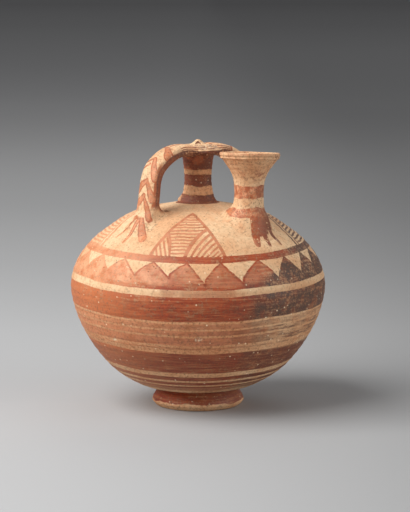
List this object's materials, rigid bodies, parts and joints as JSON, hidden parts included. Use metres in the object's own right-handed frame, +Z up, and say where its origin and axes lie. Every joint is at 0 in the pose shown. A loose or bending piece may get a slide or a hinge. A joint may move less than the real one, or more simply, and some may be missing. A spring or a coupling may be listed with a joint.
{
  "type": "stirrup jar",
  "caption": "Round closed jar on a low foot, with a false neck and disc carrying two strap handles, and a separate funnel spout on the shoulder.",
  "frame": {"origin": "centre of the foot's resting face", "axes": "+Z up along the jar's axis, -Y towards the spout, the two handles along -X and +X"},
  "size_m": [0.132, 0.132, 0.1376],
  "materials": {
    "foot_clay": "matt orange-brown fired clay with worn red-brown paint",
    "red_painted_clay": "satin red-brown slip paint in bands over buff clay, dark brown to black on one side",
    "buff_clay": "smooth matt cream-buff slip",
    "brown_painted_clay": "dark red-brown paint bands over buff clay",
    "handle_clay": "matt buff clay with red chevrons and painted edges",
    "spout_clay": "matt orange-buff clay with red-brown bands"
  },
  "bodies": {
    "root": {"foot": "foot_clay", "lower_body": "red_painted_clay", "shoulder": "buff_clay", "false_neck": "brown_painted_clay", "neck_disc": "buff_clay", "disc_knob": "buff_clay", "left_handle": "handle_clay", "right_handle": "handle_clay", "spout": "spout_clay"}
  },
  "joints": []
}
